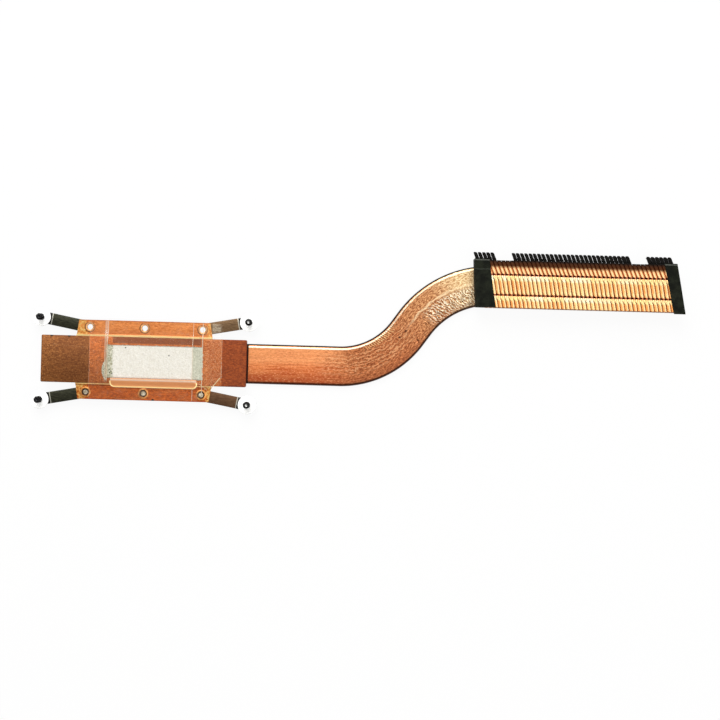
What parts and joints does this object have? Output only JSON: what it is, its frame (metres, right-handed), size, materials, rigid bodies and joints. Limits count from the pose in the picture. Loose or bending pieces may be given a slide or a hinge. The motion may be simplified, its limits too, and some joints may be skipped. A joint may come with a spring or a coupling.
{
  "type": "laptop heatsink",
  "caption": "Laptop heatsink: copper contact plate on two riveted leaf springs with captive screws, a flattened heat pipe with an S-bend and a stack of interlocked fins with foam ends.",
  "frame": {"origin": "centre of the pattern of the captive screws, on the plane of the base plate's contact face", "axes": "+X along the base plate towards the fin stack, +Z out of the contact face towards the processor, +Y to the fin stack's side"},
  "size_m": [0.1935, 0.0499, 0.0074],
  "materials": {
    "copper_plate": "satin",
    "copper_rail": "satin",
    "copper_pipe": "satin",
    "copper_fin": "satin",
    "spring_steel": "satin",
    "rivet_metal": "satin",
    "black_steel": "satin",
    "nylon": "satin",
    "foam": "matte",
    "paste": "matte",
    "film": "gloss"
  },
  "bodies": {
    "heatsink": {"base_plate": "copper_plate", "rail_upper": "copper_rail", "rail_lower": "copper_rail", "leaf_spring_upper": "spring_steel", "leaf_spring_lower": "spring_steel", "rivet_upper_left": "rivet_metal", "rivet_upper_middle": "rivet_metal", "rivet_upper_right": "rivet_metal", "rivet_lower_left": "rivet_metal", "rivet_lower_middle": "rivet_metal", "rivet_lower_right": "rivet_metal", "heat_pipe": "copper_pipe", "fin_first": "copper_fin", "fins_left": "copper_fin", "fin_notched": "copper_fin", "fins_notch_left": "copper_fin", "fins_middle": "copper_fin", "fins_notch_right": "copper_fin", "fins_right": "copper_fin", "foam_left": "foam", "foam_right": "foam", "thermal_paste": "paste", "clear_cover": "film"},
    "washer_upper_left": {"washer_upper_left": "nylon"},
    "screw_upper_left": {"screw_upper_left": "black_steel"},
    "washer_upper_right": {"washer_upper_right": "nylon"},
    "screw_upper_right": {"screw_upper_right": "black_steel"},
    "washer_lower_left": {"washer_lower_left": "nylon"},
    "screw_lower_left": {"screw_lower_left": "black_steel"},
    "washer_lower_right": {"washer_lower_right": "nylon"},
    "screw_lower_right": {"screw_lower_right": "black_steel"}
  },
  "joints": [
    {"name": "lift_upper_left", "type": "slide", "parent": "heatsink", "child": "washer_upper_left", "axis": [0, 0, 1], "range_m": [0, 0.00043]},
    {"name": "turn_upper_left", "type": "hinge", "parent": "washer_upper_left", "child": "screw_upper_left", "pos_m": [-0.03095, 0.0123, 0], "axis": [0, 0, 1], "continuous": true},
    {"name": "lift_upper_right", "type": "slide", "parent": "heatsink", "child": "washer_upper_right", "axis": [0, 0, 1], "range_m": [0, 0.00043]},
    {"name": "turn_upper_right", "type": "hinge", "parent": "washer_upper_right", "child": "screw_upper_right", "pos_m": [0.03095, 0.0123, 0], "axis": [0, 0, 1], "continuous": true},
    {"name": "lift_lower_left", "type": "slide", "parent": "heatsink", "child": "washer_lower_left", "axis": [0, 0, 1], "range_m": [0, 0.00043]},
    {"name": "turn_lower_left", "type": "hinge", "parent": "washer_lower_left", "child": "screw_lower_left", "pos_m": [-0.03095, -0.0123, 0], "axis": [0, 0, 1], "continuous": true},
    {"name": "lift_lower_right", "type": "slide", "parent": "heatsink", "child": "washer_lower_right", "axis": [0, 0, 1], "range_m": [0, 0.00043]},
    {"name": "turn_lower_right", "type": "hinge", "parent": "washer_lower_right", "child": "screw_lower_right", "pos_m": [0.03095, -0.0123, 0], "axis": [0, 0, 1], "continuous": true}
  ]
}
